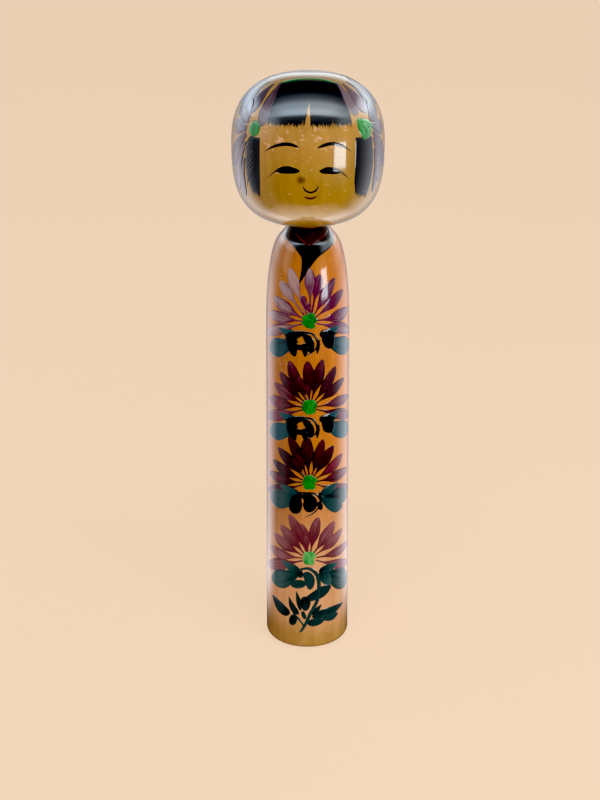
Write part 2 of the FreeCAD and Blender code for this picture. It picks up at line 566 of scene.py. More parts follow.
room_light()
flat_round("pale_table", 0.0, table_material())
gleam = flat_round("table_gleam", 0.0002, gleam_material())
gleam.visible_glossy = True
gleam.visible_camera = False
gleam.visible_diffuse = False
gleam.visible_shadow = False
DEEPEST_BLACK = (0.02, 0.02, 0.02)
view = scene.view_settings
view.view_transform = "Standard"
view.use_curve_mapping = True
view.curve_mapping.black_level = DEEPEST_BLACK
view.curve_mapping.update()
lamp("overhead softbox", (0.1, -0.56, 1.3), (0, 0, 0.24), 0.9, 0.5, 1.7)
lamp("front fill", (0, -1.5, 0.7), (0, 0, 0.15), 1.6, 1.2, 1.15, (1, 0.97, 0.93))
WINDOW_HEIGHT = 0.153
lamp("right window", around(47.5, 0, 0.8, WINDOW_HEIGHT), (0, 0, WINDOW_HEIGHT), 0.26, 0.19, 12.5,
     (0.84, 0.93, 1.0), gloss=True)
BOUNCE_HEIGHT = 0.0004
for name, x, y, width, depth in (("front", 0, -0.10, 0.36, 0.15), ("back", 0, 0.10, 0.36, 0.15),
                                 ("left", -0.1025, 0, 0.155, 0.05), ("right", 0.1025, 0, 0.155, 0.05)):
    lamp("table bounce " + name, (x, y, BOUNCE_HEIGHT), (x, y, 1.0), width, depth, 0.75, (1.0, 0.93, 0.90),
         gloss=True, matt=False, spread=84)

# %% [markdown]
# ## A brush stroke as a film of dye
#
# The doll is painted with a loaded brush, one stroke for each petal and leaf. Each stroke here is its own
# thin closed film that follows the wood: a spine, a width that swells and ends in a round or a pointed tip,
# and a rim that dips just below the wood so that no edge floats. Strokes that cross get their own small
# lift, as wet dye laid over dry dye has. The spine is drawn on an unrolled map of the skin in millimetres:
# for the body and for the head's side, x goes round to the viewer's right and y goes up; for the crown the
# map is a plan.

# %% Unrolled maps of the two skins
RIM_DEPTH = -0.03
UNDERSIDE_DEPTH = -0.06
BODY_MAP_RADIUS = 20.0
HEAD_MAP_RADIUS = 34.7
HEAD_WIDEST_RUN = 54.2
NEARBY = 0.4


def skin_places(outside, first_run, turn, run, lift):
    """The outline at distance run along it gives radius and height; lift goes along the outline's normal,
    which is its tangent turned a quarter; then the point is swung round the axis by turn. Millimetres in,
    metres out."""
    along = run_along(outside) / MM + first_run
    radius, height = (np.interp(run, along, outside[:, k]) for k in (0, 1))
    d_radius, d_height = (np.interp(run + NEARBY, along, outside[:, k])
                          - np.interp(run - NEARBY, along, outside[:, k]) for k in (0, 1))
    length = np.hypot(d_radius, d_height)
    way_out = np.sign(outside[0, 1] - outside[-1, 1])
    radius = radius - way_out * d_height / length * lift * MM
    height = height + way_out * d_radius / length * lift * MM
    return np.stack([radius * np.sin(turn), -radius * np.cos(turn), height], axis=-1)


foot_outline = body_outside[:FOOT_DISC_POINTS + FOOT_CORNER_POINTS - 1]
FOOT_CORNER_RUN = float(np.hypot(*np.diff(foot_outline, axis=0).T).sum() / MM)


def on_body(grid, lift):
    """Body map: x is turn times 20 mm, y is the height up the side, carried on over the shoulder."""
    start = FOOT_ROUNDING / MM - FOOT_CORNER_RUN
    return skin_places(body_outside, start, grid[..., 0] / BODY_MAP_RADIUS, grid[..., 1], lift)


def on_head(grid, lift):
    """Head map: x is turn times 34.7 mm, y is the distance above the widest ring."""
    turn, run = grid[..., 0] / HEAD_MAP_RADIUS, HEAD_WIDEST_RUN - grid[..., 1]
    return skin_places(head_outside, 0.0, turn, run, lift)


def on_crown(grid, lift):
    """Crown map: a plan with the pole in the middle and the face towards -y; distances along the skin."""
    run = np.hypot(grid[..., 0], grid[..., 1])
    turn = np.arctan2(grid[..., 0], -grid[..., 1])
    return skin_places(head_outside, 0.0, turn, run, lift)


def polar(degrees, run):
    """A crown map point at a turn to the viewer's right and a distance from the pole."""
    turn = math.radians(degrees)
    return (run * math.sin(turn), -run * math.cos(turn))


print("foot corner at %.2f mm along the outline" % FOOT_CORNER_RUN)

# %% [markdown]
# The width along a stroke is what makes it a petal, a leaf or a line. Two formulas are enough: a belly, t^a
# (1-t)^b, which is blunt where the power is small and fine where it is large, and a petal, which stays a
# thin line near the flower's heart, opens, and closes in a round tip.


# %% Stroke shapes
def belly(start_power, end_power):
    """Width t^a (1-t)^b, scaled so that its widest place is 1."""
    widest = start_power / (start_power + end_power)
    peak = widest ** start_power * (1 - widest) ** end_power
    return lambda t: t ** start_power * (1 - t) ** end_power / peak


def petal(neck=0.10, full=0.60, thin=0.10, tip=2.0):
    """Thin up to neck, a smooth swell up to full, then a tip that closes as (1 - u^tip)^0.6."""
    def width(t):
        u = np.clip((t - neck) / (full - neck), 0, 1)
        v = np.clip((t - full) / (1 - full), 0, 1)
        return (thin + (1 - thin) * u * u * (3 - 2 * u)) * (1 - v ** tip) ** 0.6
    return width


PETAL = petal(0.10, 0.54, 0.13)
LATE_PETAL = petal(0.34, 0.70, 0.16)
LEAF = belly(0.65, 0.75)
TWIG = belly(0.18, 0.25)
LENS_SHAPE = belly(0.62, 0.62)


def spans(knots, place):
    """For each place, the span between knots that it lies in and how far along that span it is."""
    span = np.clip(np.searchsorted(knots, place, side="right") - 1, 0, len(knots) - 2)
    return span, (place - knots[span]) / (knots[span + 1] - knots[span])


def smooth_path(points, t):
    """A curve through the points: each span is a Catmull-Rom cubic, and t goes by length."""
    p = np.array(points, float)
    if len(p) == 2:
        return p[0] + np.outer(t, p[1] - p[0])
    ends = np.vstack([2 * p[0] - p[1], p, 2 * p[-1] - p[-2]])
    knots = run_along(p)
    span, u = spans(knots, t * knots[-1])
    u = u[:, None]
    a, b, c, d = (ends[span + k] for k in range(4))
    cubic = 2 * b + (c - a) * u + (2 * a - 5 * b + 4 * c - d) * u ** 2 + (3 * b - a - 3 * c + d) * u ** 3
    return 0.5 * cubic


LIFT_STEP = 0.005
POINT_SPACING = 0.55
UNSTEADY_HAND = 0.04


class Brushwork:
    """Strokes that become one painted piece. Each stroke lies a little above the one before it."""

    def __init__(self, name, skin, slot, material, seed, lift=0.03):
        self.name, self.skin, self.slot, self.material, self.lift = name, skin, slot, material, lift
        self.body = "body" if skin is on_body else "head"
        self.random = np.random.default_rng(seed)
        self.places, self.faces, self.marks, self.count = [], [], [], 0
        self.tone = None

    def film(self, grid):
        """A closed shell from a grid of map points: the rim is shared and lies below the wood, the top is
        lifted and the underside sunk. The brush mark keeps the shares along and across, and a tone."""
        across, along = (grid[:, -1] - grid[:, 0]).mean(axis=0), (grid[-1] - grid[0]).mean(axis=0)
        if along[0] * across[1] - along[1] * across[0] < 0:
            grid = grid[:, ::-1]
        rows, columns = grid.shape[:2]
        lift = np.full((rows, columns), self.lift)
        lift[[0, -1]] = lift[:, [0, -1]] = RIM_DEPTH
        top = self.skin(grid, lift)
        under = self.skin(grid[1:-1, 1:-1], UNDERSIDE_DEPTH)
        upper = np.arange(rows * columns).reshape(rows, columns)
        lower = upper.copy()
        lower[1:-1, 1:-1] = rows * columns + np.arange(under[..., 0].size).reshape(under.shape[:2])
        faces = [np.stack([g[:-1, :-1], g[1:, :-1], g[1:, 1:], g[:-1, 1:]], axis=-1).reshape(-1, 4)
                 for g in (upper, lower)]
        faces[1] = faces[1][:, ::-1]
        along, across = np.meshgrid(np.linspace(0, 1, rows), np.linspace(-1, 1, columns), indexing="ij")
        tone = self.random.random() if self.tone is None else self.tone
        mark = np.stack([along, across, np.full_like(along, tone)], axis=-1)
        self.places += [top.reshape(-1, 3), under.reshape(-1, 3)]
        self.marks += [mark.reshape(-1, 3), mark[1:-1, 1:-1].reshape(-1, 3)]
        self.faces.append(np.vstack(faces) + self.count)
        self.count += lift.size + under[..., 0].size
        self.lift += LIFT_STEP

    def stroke(self, points, width, shape, bend=0.0):
        """A spine through the points, bent to its left at the middle, with the width times the shape
        across it."""
        points = np.array(points, float)
        length = np.hypot(*np.diff(points, axis=0).T).sum()
        rows = int(np.clip(length / POINT_SPACING, 10, 60))
        columns = int(np.clip(width / POINT_SPACING, 5, 24)) | 1
        t = (1 - np.cos(np.linspace(0, math.pi, rows))) / 2
        spine = smooth_path(points, t)
        tangent = np.gradient(spine, t, axis=0)
        side = np.stack([-tangent[:, 1], tangent[:, 0]], axis=-1) / np.hypot(*tangent.T)[:, None]
        chord = points[-1] - points[0]
        sideways = np.array([-chord[1], chord[0]]) / np.hypot(*chord)
        spine = spine + np.outer(4 * t * (1 - t) * bend, sideways)
        unsteady = 1 + UNSTEADY_HAND * np.sin(t * self.random.uniform(5, 9) + self.random.uniform(0, 6))
        half = np.maximum(width / 2 * shape(t) * unsteady, 0.02)
        across = np.linspace(-1, 1, columns)
        self.film(spine[:, None] + side[:, None] * (half[:, None] * across)[..., None])

    def sheet(self, edges, rows, ragged_end=0.0):
        """Bristle tracks that run from each point of the first edge through its fellows to the last edge.
        At a ragged end every second track runs over by a random share, and the others fall short."""
        edges = [np.array(edge, float) for edge in edges]
        columns = len(edges[0])
        long_track = np.arange(columns) % 2
        over = np.where(long_track, self.random.uniform(0.1, 1.0, (2, columns)),
                        self.random.uniform(-0.5, 0.0, (2, columns)))[0]
        way = edges[-1] - edges[-2]
        edges[-1] = edges[-1] + way / np.hypot(*way.T)[:, None] * (over * ragged_end)[:, None]
        gaps = [np.hypot(*(b - a).T).mean() for a, b in zip(edges, edges[1:])]
        knots = np.concatenate([[0], np.cumsum(gaps)]) / sum(gaps)
        span, share = spans(knots, np.linspace(0, 1, rows))
        share = share[:, None, None]
        stack = np.stack(edges)
        self.film(stack[span] * (1 - share) + stack[span + 1] * share)

    def finish(self):
        """One mesh from all films, with the brush marks as a point attribute."""
        faces = np.vstack(self.faces)
        piece = new_mesh_piece(self.name, np.vstack(self.places), faces.tolist(), self.body, 60)
        mark = piece.data.attributes.new("brush", "FLOAT_VECTOR", "POINT")
        mark.data.foreach_set("vector", np.vstack(self.marks).ravel())
        piece.data.materials.append(self.material)
        print("%-24s %3d strokes %6d faces" % (self.name, len(self.faces), len(faces)))


def painted(name, skin, slot, material, seed, strokes, lift=0.03):
    """A piece from a list of strokes, each a row of spine, width and shape."""
    work = Brushwork(name, skin, slot, material, seed, lift)
    for stroke in strokes:
        work.stroke(*stroke)
    work.finish()


print("points of a film lie about %.2f mm apart" % POINT_SPACING)

# %% [markdown]
# ## Ink and dyes
#
# The black is a dense ink. The reds, mauves and greens are thin dyes: they run darker where the brush was
# loaded or where it pooled at the rim of the stroke, and leave bristle streaks where it ran dry. All of
# them lie below the same clear coat as the wood, so the gloss is one and only the colour and the body
# change.


# %% Dye materials
def dye_material(name, thin, thick, bristles=7.0, cover=1.0, pool=0.5, fade=0.0, heart=0.0, vary=0.35,
                 streaks=0.9):
    """A dye between a thin and a thick card colour. Bristles: streaks across a stroke; cover: how well it
    hides the wood; pool: how dark its rim is; fade: how much it thins to the end; heart: how much it
    darkens at the start; vary: how strokes differ; streaks: how strongly the bristle tracks show."""
    material = bpy.data.materials.new(name)
    tree = Tree(material)
    places = tree.object_places()
    mark = tree.add("Attribute", {"attribute_name": "brush"}, None, output=1)
    along, across, tone = tree.parts(mark)
    wood_seen, grain = wood_colour(tree, places)
    track = tree.noise(tree.join(across * bristles, along * 1.6, tone * 60.0), 1.0, 3.0, 0.65)
    wash = tree.noise(places, 260.0, 3.0, 0.6)
    rim = across.size() ** 5.0 * pool
    load = (track - 0.5) * streaks + 0.45 + wash * 0.4 + (tone - 0.5) * vary + rim - along * fade
    load = load + (1.0 - along) ** 2.0 * heart - 0.15
    colour = tree.mix(load.between(0.15, 0.85), shade(*thin), shade(*thick))
    hides = track + wash * 0.35 + cover + (tone - 0.5) * (vary - 0.35) - along * fade * 0.5 - 0.72
    hides = hides.between(0.12, 0.50)
    colour = tree.mix(hides, tree.mix(0.45, wood_seen, colour), colour)
    rough = 0.30 + grain * 0.12 + (1.0 - hides) * 0.12
    varnish(tree, colour, rough, varnish_bump(tree, places, track * 0.25 + rim * 0.3))
    return material


black_ink = dye_material("black hair ink", (14, 13, 18), (4, 4, 6), bristles=26, pool=0.2)
line_ink = dye_material("black line ink", (22, 12, 8), (6, 4, 4), bristles=3, cover=1.1, pool=0.1)
mouth_red = dye_material("dark red lip dye", (92, 14, 12), (52, 5, 8), bristles=3, cover=1.0, pool=0.3)
collar_black = dye_material("black collar ink", (12, 9, 8), (4, 4, 5), bristles=14, pool=0.3)
collar_red = dye_material("dark red collar dye", (112, 20, 20), (66, 7, 12), bristles=5, pool=0.5)
collar_red_in_painted_shade = dye_material("collar red darkened as painted shade", (58, 12, 12), (30, 5, 8), bristles=9, pool=0.3)
ribbon_mauve = dye_material("greyed mauve dye", (124, 106, 114), (66, 44, 58), bristles=8, cover=1.1,
                            pool=0.7, fade=0.25, heart=0.35, vary=0.9)
knot_green = dye_material("bright green dye", (58, 158, 70), (12, 104, 32), bristles=5, cover=0.85,
                          pool=0.6)
print("dyes ready")

# %% [markdown]
# ## The face
#
# The face is brushed in fine black lines on bare wood: arched brows that end in a hair, narrow eyes with a
# long lid line that falls outward, a nose like a shallow cup and a short red mouth. Each is one or two
# strokes. They could be coloured into the wood by a mask, but as films of their own they keep sharp edges
# close up and turn with the head.

# %% Brows, eyes, nose and mouth
EYE_SHAPE = belly(0.5, 0.5)
LID_SHAPE = belly(0.55, 0.95)
painted("brows", on_head, "black_ink", line_ink, 11, (
    ([(-3.9, 4.1), (-7.5, 5.2), (-11.4, 5.1), (-16.2, 3.6), (-20.8, 0.7)], 2.15, belly(0.6, 1.25)),
    ([(4, 3.8), (7.2, 5), (11.1, 5.5), (15.8, 4.1), (20.4, 0.9)], 2.0, belly(0.65, 1.2)),
))
painted("eyes", on_head, "black_ink", line_ink, 12, (
    ([(-3.6, -6.1), (-9, -6), (-14.2, -6.6)], 3.5, EYE_SHAPE),
    ([(-3.6, -5.9), (-9, -4.5), (-13.4, -5.9), (-19, -10.3)], 1.15, LID_SHAPE),
    ([(4.9, -6.2), (9.1, -6.4), (14.6, -7)], 3.2, EYE_SHAPE),
    ([(4.9, -6), (9, -4.9), (13.8, -6.3), (19.5, -10.9)], 1.15, LID_SHAPE),
))
painted("nose", on_head, "black_ink", line_ink, 13, (
    ([(-2.2, -12.6), (-1.2, -14.7), (1.3, -15.7), (3.8, -14.6), (4.7, -12.4)], 1.2, EYE_SHAPE),
))
painted("mouth", on_head, "red_dye", mouth_red, 14, (
    ([(-1.9, -17.8), (1.2, -18.6), (4.3, -17.6)], 1.5, LENS_SHAPE),
))

# %% [markdown]
# ## The hair
#
# The bangs are a broad fan combed down from the crown in parallel strokes, so their fringe is a row of
# bristle tips, with a thin wedge left bare for the parting. They are two sheets that lap above the parting.
# A lock hangs beside each cheek: its edge by the face is clean and its outer and lower edges are feathered.
# One black patch with a cut edge would be simpler, but tracks that run over by random shares end like real
# bristles.


# %% Bangs and side locks
TOP_EDGE = 14.7
PARTING_RUN = 29.3
FRINGE_RUN = 41.1


def fan_edge(turns, run, count):
    """A crown map edge between two turns. The run is one distance, or None for the straight top edge."""
    turn = np.radians(np.linspace(*turns, count))
    runs = TOP_EDGE / np.cos(turn) if run is None else np.full(count, run)
    return np.column_stack([runs * np.sin(turn), -runs * np.cos(turn)])


hair = Brushwork("bangs", on_crown, "black_ink", black_ink, 21)
BANG_TURNS = (
    ((-39.2, 3.4), (-32.2, 2.1), (-32.6, -2.2)),
    ((0, 41.4), (1, 35.3), (1.3, 35.9)),
)
for turns in BANG_TURNS:
    runs = (None, PARTING_RUN, FRINGE_RUN)
    hair.sheet([fan_edge(turn, run, 56) for turn, run in zip(turns, runs)], 64, ragged_end=2.4)
hair.finish()

locks = Brushwork("side_locks", on_head, "black_ink", black_ink, 22)
LEFT_LOCK = (((-27.2, 7.2), (-22.4, 7.4)), ((-28.6, -6), (-22.4, -5)),
             ((-30.4, -13), (-22.6, -12)), ((-29.2, -17.4), (-23.8, -19.8)))
RIGHT_LOCK = (((22.2, 7.3), (33, 7)), ((21.9, -4), (34.2, -4.6)),
              ((21.9, -12), (33.4, -13.3)), ((23.4, -18.2), (31.6, -20.2)))
locks.sheet([straight(*ends, 24) for ends in LEFT_LOCK], 52, ragged_end=2.6)
for k in range(10):
    y = 7.0 - 1.75 * k + locks.random.uniform(-0.5, 0.5)
    reach = -33.6 + 0.22 * k + locks.random.uniform(-0.5, 0.5)
    locks.stroke([(-26.4, y + 1.2), (-30.2, y - 2.0), (reach, y - 6.8)], 1.7, belly(0.3, 1), bend=0.4)
locks.sheet([straight(*ends, 34) for ends in RIGHT_LOCK], 52, ragged_end=2.6)
locks.finish()

# %% [markdown]
# ## The ornament on the crown
#
# Behind the bangs a green cord crosses the crown and ends in a knot on each side. From it and from the
# knots mauve petals fan out over the sides and the back, each one stroke of thin dye. Modelled ribbons
# would stand off the wood, and on the doll this is flat dye, so the petals are strokes set round the crown
# by angle.

# %% Crown petals
ribbons = Brushwork("crown_petals", on_crown, "red_dye", ribbon_mauve, 31)
CROWN_PETAL = petal(0.03, 0.72, 0.2, 2.4)
ribbons.stroke([polar(-39, 18.6), polar(-36.6, 30), polar(-37.4, 42.4)], 8.0, CROWN_PETAL)
ribbons.stroke([polar(42, 18.8), polar(39.4, 29), polar(41.6, 37.8)], 8.4, CROWN_PETAL)
for side in (-1, 1):
    for k, turn in enumerate((52, 66, 81, 97, 114, 133, 153, 174)):
        near, far = 20.5 - 1.2 * k, 37.5 + 2.5 * math.sin(k * 2.1)
        ribbons.stroke([polar(side * (turn - 3), near), polar(side * (turn + 2), far)], 9.4, CROWN_PETAL,
                       bend=-0.8 * side)
SIDE_PETAL = petal(0.0, 0.66, 0.34, 2.3)
ribbons.skin = on_head
RIGHT_PETALS = (
    ([(33, 13.6), (41.4, 15.6)], 6.2), ([(34, 11), (45.4, 8.6)], 7.6),
    ([(34.2, 8.6), (40.6, 1), (45.6, -8.6)], 7.8), ([(34.2, 6), (38.6, -4), (40.8, -15.4)], 6.0),
    ([(34.6, 1), (36.4, -8), (36.6, -19.4)], 4.0), ([(33.6, 14.6), (40, 22)], 5.6),
)
LEFT_PETALS = (
    ([(-31, 13), (-39.6, 16.4)], 6.4), ([(-31.6, 10.4), (-43.6, 9.4)], 7.6),
    ([(-31.6, 8), (-38.4, 1.4), (-45, -8.4)], 8.0), ([(-31.8, 4.4), (-37.2, -5), (-41.2, -19)], 7.2),
    ([(-32.6, -3), (-34.8, -11), (-36, -21.6)], 5.2), ([(-31, 14.6), (-36.6, 23)], 6.0),
)
for k, (spine, width) in enumerate(RIGHT_PETALS + LEFT_PETALS):
    ribbons.tone = 1.0 if k == 4 else ribbons.random.uniform(0.3, 0.7) + (0.15 if k < 6 else 0.0)
    ribbons.stroke(spine, width, SIDE_PETAL)
ribbons.finish()

# %% [markdown]
# The knots are short dabs of thick green dye over the ends of the petals: four upright ones on the left,
# four crossing ones on the right. The cord between them is one thin line that follows the crown. A solid
# bead would be wrong, since the knots are flat paint, and crossing dabs give their uneven outline.

# %% Green knots and the band across the crown
LEFT_KNOT = []
for k in range(4):
    short = 0.9 * abs(k - 1.5) - 0.4
    x = -28.6 + 1.3 * k
    LEFT_KNOT.append(([(x, 7.0 + short), (x + 0.3, 14.2 - short)], 2.9, belly(0.4, 0.4)))
RIGHT_KNOT = [
    ([(25.4, 15.3), (26.6, 10), (28, 5.4)], 4.0, belly(0.5, 0.7)),
    ([(26, 14.2), (34.6, 10.8)], 3.8, belly(0.5, 0.6)),
    ([(28, 6.4), (33.4, 10.2)], 3.8, belly(0.5, 0.6)),
    ([(27.4, 12.8), (31, 8.4)], 3.6, belly(0.5, 0.5)),
]
painted("green_knots", on_head, "green_dye", knot_green, 32, LEFT_KNOT + RIGHT_KNOT, 0.19)
BAND = [polar(-38.5, 18.9), polar(-24, 15.6), polar(0.8, 13.6), polar(25, 15.4), polar(39, 18.8)]
painted("green_crown_band", on_crown, "green_dye", knot_green, 33, [(BAND, 2.0, TWIG)], 0.19)

# %% [markdown]
# ## The collar
#
# The neck of the robe is a black yoke over the shoulders that ends in a long point on the breast, with a
# dark red V inside it for the inner robe, its red darkened as painted shade under the head. The yoke could
# be a colour cut by height in the wood, but a sheet of dye between two edges keeps the point sharp and makes
# the collar a piece of its own.

# %% Collar
collar = Brushwork("collar", on_body, "black_ink", collar_black, 41)
COLLAR_TURN = np.radians(np.linspace(-66, 72, 40)) * BODY_MAP_RADIUS
collar_low = np.interp(COLLAR_TURN, [-23.0, -11.1, -7.5, -3.9, -3.7, 1.0, 5.4, 11.5, 18.3, 25.0],
                       [209.0, 204.9, 202.6, 199.4, 199.0, 198.0, 198.8, 201.5, 204.1, 209.0])
collar.sheet([np.column_stack([COLLAR_TURN, low]) for low in (np.full(40, 213.9), collar_low)], 26)
point_left = smooth_path([(-6.6, 202), (-3.9, 199.2), (-3.5, 194), (-4.5, 186.9)], np.linspace(0, 1, 30))
point_right = smooth_path([(8.6, 200.6), (4.6, 198), (1, 194.2), (-4.3, 186.9)], np.linspace(0, 1, 30))
share = np.linspace(0, 1, 15)[None, :, None]
collar.film(point_left[:, None] * (1 - share) + point_right[:, None] * share)
collar.finish()

# The V is the inner robe's red, darkened as painted shade under the head.
inner = Brushwork("collar_inner", on_body, "red_dye", collar_red_in_painted_shade, 43, 0.05)
inner.sheet([straight((-9.6, 211.6), (18.8, 212.2), 22), straight((-0.4, 205.4), (1.6, 205.4), 22)], 16)
inner.finish()

painted("collar_lining", on_body, "red_dye", collar_red, 42, (
    ([(-10.4, 210.6), (-4.8, 207.6), (0.8, 204.9)], 1.5, TWIG),
    ([(20.4, 211.5), (10, 208.2), (0.4, 204.8)], 1.5, TWIG),
), 0.06)

# %% [markdown]
# ## Four chrysanthemums
#
# The robe carries four flower heads one above another, each a fan of petals about a green heart, open to
# the sky and flat below, where dark leaves spread to both sides. A painter repeats the same flower by habit
# and never twice the same, so one loop paints all four from lists of angles and lengths, one list a tier.

# %% Petals of the four flowers
FLOWER_X = 1.0
FLOWER_HEIGHTS = (169.9, 128.1, 90.1, 50.1)
PETALS = (
    ((-19, 28.5), (5, 25), (32, 23.5), (54, 23.6), (76, 22.4), (90, 24.6), (114, 26.4), (133, 23.7),
     (155, 22), (178, 23.7), (201, 28.2)),
    ((-20, 29), (0, 26.5), (29, 23), (54, 23), (75, 24), (93, 22.8), (114, 24.5), (134, 22),
     (155, 21.7), (179, 24.4), (200, 28.8)),
    ((-19, 28.5), (3, 24.5), (30, 22), (54, 21.2), (73, 22.5), (93, 23.7), (114, 25), (137, 22.8),
     (159, 22), (179, 24), (201, 28.4)),
    ((-20, 29), (3, 26.3), (31, 22.5), (53, 22), (79, 22), (103, 18.7), (114, 24.6), (134, 21.7),
     (155, 22.2), (178, 24.4), (201, 29.4)),
)
BUDS = (((96, 8.7), (107, 12.8)), ((95, 10.7), (109, 15.8)), ((112, 15), (124, 14)), ((98, 12),))
PETAL_DYES = (
    # The first flower's thin colour is a pale grey-lilac: its violet dye with a painted reflection of the
    # bright room.
    dye_material("violet petal dye and painted reflection", (164, 148, 158), (88, 12, 56), 12, 0.60, 0.6, 0.15, 0.9, 0.75, 2.4),
    dye_material("maroon petal dye", (122, 56, 76), (44, 12, 20), 9, 0.95, 0.4, 0.25, 0.8, 0.6, 1.6),
    dye_material("deep maroon petal dye", (120, 38, 56), (40, 10, 17), 9, 0.98, 0.4, 0.20, 0.8, 0.6, 1.5),
    dye_material("brown maroon petal dye", (150, 96, 102), (96, 38, 48), 8, 0.95, 0.35, 0.25, 0.8, 0.6, 1.5),
)


# The first row gives the first flower's upper-left and left petals low tones, so they take the pale
# grey-lilac, a painted reflection over the dye's own paler wash.
PETAL_TONES_AND_REFLECTION = (
    lambda turn: 0.16 if 108 < turn < 140 else 0.34 if turn >= 140 else 0.95 if 15 < turn < 80 else 0.70,
    lambda turn: 0.25 if turn > 140 else 0.90 if 25 < turn < 140 else 0.40,
    lambda turn: 0.55 if turn > 165 else 0.90 if 48 < turn < 165 else 0.25,
    lambda turn: 0.35 if turn > 140 else 0.75 if 70 < turn < 140 else 0.40,
)


def ray_point(middle_place, degrees, reach):
    """A body map point at that reach from a flower's middle."""
    a = math.radians(degrees)
    return (middle_place[0] + reach * math.cos(a), middle_place[1] + reach * math.sin(a))


for tier, height in enumerate(FLOWER_HEIGHTS, start=1):
    flower = Brushwork("petals_%d" % tier, on_body, "red_dye", PETAL_DYES[tier - 1], 50 + tier)
    heart = (FLOWER_X, height)
    for degrees, reach in PETALS[tier - 1]:
        bend = flower.random.uniform(-0.7, 0.7)
        flower.tone = PETAL_TONES_AND_REFLECTION[tier - 1](degrees) + flower.random.uniform(-0.12, 0.12)
        late = tier == 1 and 60 < degrees < 140
        flower.stroke([ray_point(heart, degrees, 3.4), ray_point(heart, degrees, reach)],
                      flower.random.uniform(6, 6.9), LATE_PETAL if late else PETAL, bend)
    flower.tone = 0.9
    for degrees, reach in BUDS[tier - 1]:
        flower.stroke([ray_point(heart, degrees, 4.0), ray_point(heart, degrees, reach)], 3.6,
                      petal(0.1, 0.7, 0.14, 2.2))
    flower.finish()

# %% [markdown]
# The heart is dabbed in green with the tip of the brush, so it is a cluster of short strokes with a toothed
# edge. A disc would look stamped, and dabs at slightly uneven angles look brushed.

# %% Green hearts
HEART_GREENS = (
    dye_material("deep green heart dye", (40, 150, 40), (6, 86, 16), 5, 0.95, 0.5),
    dye_material("pale green heart dye", (104, 184, 104), (30, 126, 44), 5, 0.9, 0.5),
)
for tier, height in enumerate(FLOWER_HEIGHTS, start=1):
    green = HEART_GREENS[tier == 4]
    dabs = Brushwork("flower_heart_%d" % tier, on_body, "green_dye", green, 60 + tier, 0.12)
    for degrees in (20, 55, 88, 118, 150, 195, 250, 300):
        turn = degrees + dabs.random.uniform(-9, 9)
        tall = 1 + 0.2 * abs(math.sin(math.radians(turn)))
        far = ray_point((FLOWER_X, height), turn, dabs.random.uniform(2.9, 3.7) * tall)
        near = ray_point((FLOWER_X, height), turn + 180, 1.2)
        dabs.stroke([near, far], dabs.random.uniform(3.2, 4.4), belly(0.42, 0.40))
    dabs.finish()

# %% [markdown]
# ## Leaves
#
# The leaves are the darkest brushwork: loaded black-green where the brush lands by the stem, and thinner
# and teal towards the rounded tips at the sides. Two lobed leaves spread under each flower, with small dark
# leaves and a hooked stem between them. Mirrored copies would be quicker, but the two sides differ on the
# doll, so every leaf has its own spine and width.

# %% Leaves under the flowers
leaf_teal = dye_material("black and teal leaf dye", (18, 72, 84), (4, 10, 14), 7, 1.05, 0.15, 0.62, 0.5)
leaf_slate = dye_material("slate teal leaf dye", (50, 88, 88), (16, 38, 42), 7, 1.05, 0.15, 0.45, 0.5)
leaf_deep = dye_material("deep slate leaf dye", (34, 70, 74), (8, 20, 25), 7, 1.05, 0.15, 0.5, 0.5)
leaf_green = dye_material("dark slate leaf dye", (38, 64, 64), (18, 36, 39), 6, 1.15, 0.1, 0.1, 0.2)
leaf_dark = dye_material("black green leaf dye", (9, 26, 26), (3, 5, 6), 6, 1.15, 0.1, 0.1, 0.2)

LOBE = petal(0.0, 0.60, 0.34, 2.2)
POINTED = belly(0.45, 0.9)
BLUNT = belly(0.42, 0.48)
HOOK = belly(0.2, 0.5)
SIDE_LEAVES = (
    ([(-6, -9), (-13.4, -13), (-23.4, -16.8)], 9.2, LOBE),
    ([(-5, -7.6), (-16.2, -4.6)], 4.6, POINTED),
    ([(7, -8.4), (15.2, -13), (26.2, -16.8)], 9.4, LOBE),
    ([(6, -7.4), (16.2, -4.2)], 4.6, POINTED),
)
DARK_LEAVES = (
    ([(-9.2, -5.4), (-9, -11), (-7, -17.2)], 6.0, belly(0.4, 0.6)),
    ([(-12.6, -7.4), (-1.6, -6)], 3.4, LEAF),
    ([(-3.6, -5.6), (-0.2, -9.6), (0.6, -15.2)], 4.4, belly(0.7, 0.5)),
    ([(-2.2, -10.4), (-2.2, -17.2)], 3.6, belly(0.4, 0.8)),
    ([(-8, -12.4), (-1, -12.8)], 3.2, BLUNT),
    ([(4.3, -8.6), (3.6, -16)], 2.0, LEAF),
    ([(8.6, -4.9), (10.6, -13.9)], 7.6, BLUNT),
    ([(4.6, -6.2), (14.6, -7.2)], 4.6, POINTED),
    ([(-9.4, -5.6), (-3.6, -5.2), (1.4, -6.2), (3.5, -9.8), (2.6, -13.6), (-2.2, -16.8)], 1.2, HOOK),
)


def leaves(name, slot, material, seed, lift, middle_place, rows):
    """A piece of strokes whose spines are given from a flower's middle."""
    painted(name, on_body, slot, material, seed,
            [([(x + middle_place[0], y + middle_place[1]) for x, y in spine], width, shape)
             for spine, width, shape in rows], lift)


